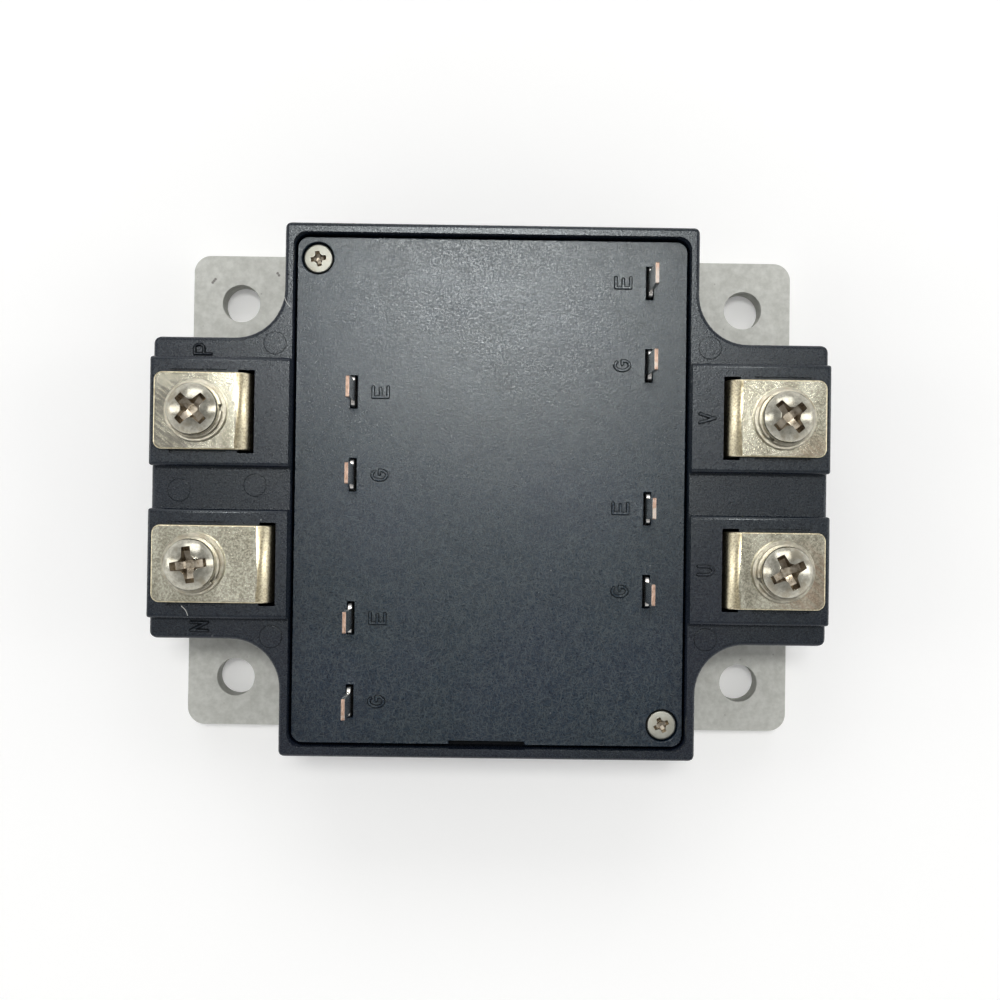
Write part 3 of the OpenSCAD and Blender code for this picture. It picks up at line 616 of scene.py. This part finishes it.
def terminal_screw(key):
    """A terminal's screw: a pan head with a cross recess, on a threaded rod."""
    low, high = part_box("terminal_screw_" + key)
    centre = (low + high) / 2
    seat = high.z - HEAD_HEIGHT
    profile = pan_head((high.x - low.x) / 2, HEAD_HEIGHT, DOME_RADIUS, HEAD_FILLET)
    tool = cross_tool(RECESS_SPAN, RECESS_WING, RECESS_DEPTH, RECESS_TURN[key])
    head = carve(lathe(profile, 72), moved(tool, (0, 0, HEAD_HEIGHT)))
    head = moved(head, (centre.x, centre.y, seat))
    rod = threaded_rod(ROD_RADIUS, THREAD_DEPTH, THREAD_PITCH, low.z, seat + 0.1 * MM)
    rod = moved(rod, (centre.x, centre.y, 0))
    screw = make_piece("screw_" + key, *joined(head, rod), "screw_nickel", smooth=28.0)
    line_recess(screw, centre, high.z, RECESS_DEPTH, RECESS_REACH, DOME_RADIUS)
    soften(screw, SCREW_EDGE)
    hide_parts("terminal_screw_" + key)


def lid_screw(index):
    """A lid screw: a flat head with a cross recess, on a threaded rod."""
    node = "lid_screw_%d" % index
    low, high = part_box(node)
    centre = (low + high) / 2
    radius = (high.x - low.x) / 2
    seat = high.z - LID_HEAD_HEIGHT
    shoulder = LID_HEAD_HEIGHT - LID_HEAD_FILLET
    profile = [(0, 0), (radius - 0.1 * MM, 0), (radius, 0.1 * MM), (radius, shoulder)]
    profile += arc((radius - LID_HEAD_FILLET, shoulder), LID_HEAD_FILLET, 10, 90, 6)
    profile += [(0, LID_HEAD_HEIGHT)]
    turn = LID_RECESS_TURN[index]
    tool = cross_tool(LID_RECESS_SPAN, LID_RECESS_WING, LID_RECESS_DEPTH, turn)
    head = carve(lathe(profile, 56), moved(tool, (0, 0, LID_HEAD_HEIGHT)))
    head = moved(head, (centre.x, centre.y, seat))
    rod = threaded_rod(LID_ROD_RADIUS, LID_THREAD_DEPTH, LID_THREAD_PITCH, low.z, seat + 0.1 * MM)
    rod = moved(rod, (centre.x, centre.y, 0))
    screw = make_piece("cover_screw_%d" % index, *joined(head, rod), "screw_nickel",
                       smooth=28.0, material=LID_SCREW)
    line_recess(screw, centre, high.z, LID_RECESS_DEPTH, LID_RECESS_REACH, LID_DOME_RADIUS)
    soften(screw, LID_SCREW_EDGE)
    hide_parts(node)


# ---- Moulded letters and marks ----


def bow(x, y, across, up, start, end, step):
    """Points on an oval round (x, y), at every step of its angle in degrees."""
    return [(x + across * math.cos(math.radians(a)), y + up * math.sin(math.radians(a)))
            for a in range(start, end, step)]


# Strokes in a letter's own frame: x across from -0.5 to 0.5, y up from -0.5 to 0.5.
LETTERS = {
    "E": [[(0.5, 0.5), (-0.5, 0.5), (-0.5, -0.5), (0.5, -0.5)], [(-0.5, 0.0), (0.35, 0.0)]],
    "G": [bow(0.0, 0.0, 0.5, 0.5, 50, 331, 20) + [(0.48, 0.0), (0.1, 0.0)]],
    "P": [[(-0.4, -0.5), (-0.4, 0.5), (0.1, 0.5)]
          + bow(0.1, 0.22, 0.35, 0.28, 75, -91, -15) + [(-0.4, -0.06)]],
    "N": [[(-0.45, -0.5), (-0.45, 0.5), (0.45, -0.5), (0.45, 0.5)]],
    "V": [[(-0.5, 0.5), (0.0, -0.5), (0.5, 0.5)]],
    "U": [[(-0.45, 0.5), (-0.45, -0.1)]
          + bow(0.0, -0.1, 0.45, 0.4, 180, 361, 20) + [(0.45, 0.5)]],
}


def nearest_on_strokes(points, strokes):
    """For each plane point: its distance to the strokes and the nearest point on them."""
    best = np.full(len(points), 1e9)
    foot = np.zeros_like(points)
    for stroke in strokes:
        ends = list(zip(stroke[:-1], stroke[1:])) or [(stroke[0], stroke[0])]
        for a, b in ends:
            a, b = np.array(a, float), np.array(b, float)
            along = b - a
            length = max(float(along @ along), 1e-18)
            share = np.clip((points - a) @ along / length, 0.0, 1.0)
            near = a + share[:, None] * along
            gap = np.linalg.norm(points - near, axis=1)
            closer = gap < best
            best[closer] = gap[closer]
            foot[closer] = near[closer]
    return best, foot


def raised_mark(name, strokes, half_width, raise_by, z, slot, flank):
    """Relief that follows the strokes, with a flat top and sloping flanks in painted shade, standing on z."""
    step = flank * 0.4
    every = np.array([p for stroke in strokes for p in stroke], float)
    low, high = every.min(0) - half_width - step, every.max(0) + half_width + step
    xs = np.arange(low[0], high[0] + step, step)
    ys = np.arange(low[1], high[1] + step, step)
    grid = np.array([(x, y) for y in ys for x in xs])
    gap, foot = nearest_on_strokes(grid, strokes)
    outside = gap > half_width
    pull = foot + (grid - foot) / np.maximum(gap, 1e-9)[:, None] * half_width
    place = np.where(outside[:, None], pull, grid)
    rise = np.clip((half_width - gap) / flank, 0.0, 1.0)
    heights = z + raise_by * rise * rise * (3 - 2 * rise)
    width = len(xs)
    faces, used = [], {}
    vertices = []
    for row in range(len(ys) - 1):
        for column in range(width - 1):
            first = row * width + column
            corners = (first, first + 1, first + width + 1, first + width)
            if all(outside[c] for c in corners):
                continue
            for c in corners:
                if c not in used:
                    used[c] = len(vertices)
                    vertices.append((place[c][0], place[c][1], heights[c]))
            faces.append(tuple(used[c] for c in corners))
    mark = make_piece(name, vertices, faces, slot, smooth=60.0)
    # The flanks take a dark, dull plastic: painted shade.
    mark.data.materials.append(FLANK_SHADE)
    for face in mark.data.polygons:
        face.material_index = int(face.center.z < z + raise_by * 0.93)


def letter(name, shape, centre, across, tall, z, slot, flank):
    """A moulded letter, turned a quarter left so that its top faces -X."""
    strokes = [[(centre[0] - v * tall, centre[1] + u * across) for u, v in stroke]
               for stroke in LETTERS[shape]]
    raised_mark(name, strokes, STROKE_WIDTH / 2, STROKE_RAISE, z, slot, flank)


def tab_place(index):
    """Middle of a tab's blade, left of its foot or right of it."""
    low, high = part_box("control_tab_%d" % index)
    blade = low.x + TAB_THICKNESS / 2 if high.x < 0 else high.x - TAB_THICKNESS / 2
    return blade, (low.y + high.y) / 2


def moulded_letters():
    for index in range(1, 9):
        x, y = tab_place(index)
        inward = 1 if x < 0 else -1
        shape = "E" if index % 2 else "G"
        letter("letter_tab_%d" % index, shape, (x + inward * TAB_LETTER_GAP, y),
               across=1.38 * MM, tall=2.02 * MM, z=lid_top, slot="lid_plastic", flank=0.12 * MM)
    screw_x = (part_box("terminal_screw_p")[0].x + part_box("terminal_screw_p")[1].x) / 2
    letter("letter_p", "P", (screw_x + 0.15 * MM, 18.6 * MM),
           across=1.5 * MM, tall=2.2 * MM, z=ledge_top, slot="case_plastic", flank=0.2 * MM)
    letter("letter_n", "N", (screw_x + 0.2 * MM, -18.67 * MM),
           across=1.2 * MM, tall=2.2 * MM, z=ledge_top, slot="case_plastic", flank=0.16 * MM)
    letter_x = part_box("terminal_v")[1].x - 15.8 * MM
    for shape, y in (("V", 10.1), ("U", -10.2)):
        letter("letter_" + shape.lower(), shape, (letter_x, y * MM),
               across=1.2 * MM, tall=2.0 * MM, z=block_top, slot="case_plastic", flank=0.13 * MM)


def ejector_marks():
    """Round ejector marks on the ledges and between the blocks."""
    places = [(-29.2, 19.6), (29.5, 19.75), (-29.2, -19.95), (29.3, -19.6), (-41.8, -0.4), (-31.6, 0.4)]
    for index, (x, y) in enumerate(places, 1):
        raised_mark("ejector_mark_%d" % index, [[(x * MM, y * MM)]], EJECTOR_RADIUS, EJECTOR_RAISE,
                    ledge_top, "case_plastic", EJECTOR_FLANK)


def lint_fibre(name, start, end, z, sag):
    """A thin curved fibre lying on the case."""
    radius = 0.045 * MM
    a, b = Vector((*start, 0)) * MM, Vector((*end, 0)) * MM
    side = Vector((a.y - b.y, b.x - a.x, 0)).normalized() * sag * MM
    count, around = 14, 6
    vertices, faces = [], []
    for k in range(count + 1):
        t = k / count
        centre = a.lerp(b, t) + side * math.sin(math.pi * t) + Vector((0, 0, z + radius))
        across = (b - a).normalized().cross(Vector((0, 0, 1)))
        for j in range(around):
            turn = 2 * math.pi * j / around
            spoke = math.cos(turn) * across + math.sin(turn) * Vector((0, 0, 1))
            vertices.append(centre + radius * spoke)
    for k in range(count):
        for j in range(around):
            after = (j + 1) % around
            here, beyond = k * around, (k + 1) * around
            faces.append((here + j, here + after, beyond + after, beyond + j))
    make_piece(name, vertices, faces, "case_plastic", material=LINT)


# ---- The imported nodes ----

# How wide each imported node's sharp edges are rounded, in millimetres.
EDGE_ROUNDING = {
    "base_plate": 0.15, "case_frame": 0.2, "lid": 0.1,
    "terminal_p": 0.2, "terminal_n": 0.2, "terminal_v": 0.2, "terminal_u": 0.2,
}
EDGE_ROUNDING.update({"control_tab_%d" % i: 0.05 for i in range(1, 9)})
EDGE_ROUNDING.update({"flat_washer_" + key: 0.1 for key in TERMINALS})
EDGE_ROUNDING.update({"spring_washer_" + key: 0.1 for key in TERMINALS})


def dress_nodes():
    """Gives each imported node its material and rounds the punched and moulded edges."""
    slots = {part["node"]: part["material_slot"] for part in frame["record"]["subparts"]}
    for name, item in frame["nodes"].items():
        for slot in item.material_slots:
            slot.material = WASHER if "washer" in name else MATERIALS[slots[name]]
        if name in EDGE_ROUNDING:
            weld = item.modifiers.new("weld", "WELD")
            weld.merge_threshold = 1e-6
            flat = item.modifiers.new("flat_faces", "DECIMATE")
            flat.decimate_type = "DISSOLVE"
            flat.angle_limit = math.radians(0.5)
            soften(item, EDGE_ROUNDING[name] * MM)


# ---- Stage ----


def studio_world():
    """A sky that is nearly white low down and grey overhead."""
    world = bpy.data.worlds.new("studio")
    world.use_nodes = True
    tree = world.node_tree
    background = tree.nodes["Background"]
    coordinates = tree.nodes.new("ShaderNodeTexCoord")
    split = tree.nodes.new("ShaderNodeSeparateXYZ")
    tree.links.new(coordinates.outputs["Generated"], split.inputs[0])
    ramp = tree.nodes.new("ShaderNodeValToRGB")
    tree.links.new(split.outputs["Z"], ramp.inputs["Fac"])
    ramp.color_ramp.elements[0].position = 0.15
    ramp.color_ramp.elements[0].color = rgba(0.96, 0.96, 0.96)
    ramp.color_ramp.elements[1].position = 0.85
    ramp.color_ramp.elements[1].color = rgba(0.31, 0.31, 0.31)
    tree.links.new(ramp.outputs["Color"], background.inputs["Color"])
    background.inputs["Strength"].default_value = 1.0
    bpy.context.scene.world = world


def soft_box(name, azimuth, elevation, distance, width, height, radiance, colour):
    """Rectangular lamp aimed at the module, set by where it stands in the sky."""
    lamp = bpy.data.lights.new(name, "AREA")
    lamp.shape = "RECTANGLE"
    lamp.size, lamp.size_y = width, height
    lamp.energy = radiance * math.pi * width * height
    lamp.color = colour
    item = bpy.data.objects.new(name, lamp)
    bpy.context.scene.collection.objects.link(item)
    a, e = math.radians(azimuth), math.radians(elevation)
    away = Vector((math.cos(a) * math.cos(e), math.sin(a) * math.cos(e), math.sin(e)))
    item.location = away * distance
    item.rotation_mode = "QUATERNION"
    item.rotation_quaternion = away.to_track_quat("Z", "Y")


def studio_lights():
    soft_box("key", azimuth=91.8, elevation=78.8, distance=1.2,
             width=0.245, height=0.142, radiance=38.0, colour=(1.0, 0.995, 0.97))
    soft_box("back", azimuth=92, elevation=42, distance=1.5,
             width=1.0, height=0.6, radiance=2.0, colour=(1.0, 1.0, 1.0))
    soft_box("side_right", azimuth=5, elevation=34, distance=1.3,
             width=0.35, height=0.8, radiance=2.2, colour=(1.0, 0.99, 0.97))
    soft_box("side_left", azimuth=178, elevation=34, distance=1.3,
             width=0.35, height=0.8, radiance=2.0, colour=(1.0, 0.99, 0.97))


def studio_floor():
    """A wide floor just under the base plate."""
    half = 4.0
    z = -0.15 * MM
    mesh = bpy.data.meshes.new("floor")
    mesh.from_pydata([(-half, -half, z), (half, -half, z), (half, half, z), (-half, half, z)], [],
                     [(0, 1, 2, 3)])
    mesh.materials.append(floor_white())
    floor = bpy.data.objects.new("floor", mesh)
    bpy.context.scene.collection.objects.link(floor)


def camera():
    """Almost straight above the module, a little off its centre."""
    place = Vector((0.13, -2.99, 218.66)) * MM
    target = Vector((1.55, -0.93, 0.0)) * MM
    roll = math.radians(0.78)
    back = (place - target).normalized()
    right = Vector((math.cos(roll), math.sin(roll), 0))
    right = (right - right.dot(back) * back).normalized()
    up = back.cross(right)
    lens = bpy.data.cameras.new("camera")
    lens.lens = 52.37
    lens.sensor_width = 36.0
    lens.clip_start, lens.clip_end = 0.01, 50.0
    item = bpy.data.objects.new("camera", lens)
    bpy.context.scene.collection.objects.link(item)
    turn = Matrix((right, up, back)).transposed().to_4x4()
    item.matrix_world = Matrix.Translation(place) @ turn
    bpy.context.scene.camera = item


# ---- Build ----


dress_nodes()
for terminal in TERMINALS:
    terminal_screw(terminal)
for number in (1, 2):
    lid_screw(number)
moulded_letters()
ejector_marks()
lint_fibre("fibre_block", (-40.8, -15.8), (-39.9, -17.1), block_top, 0.15)
lint_fibre("fibre_rim", (-28.0, 25.8), (-27.2, 24.5), ledge_top, -0.12)

studio_world()
studio_lights()
studio_floor()
camera()
bpy.context.scene.view_settings.view_transform = "Standard"
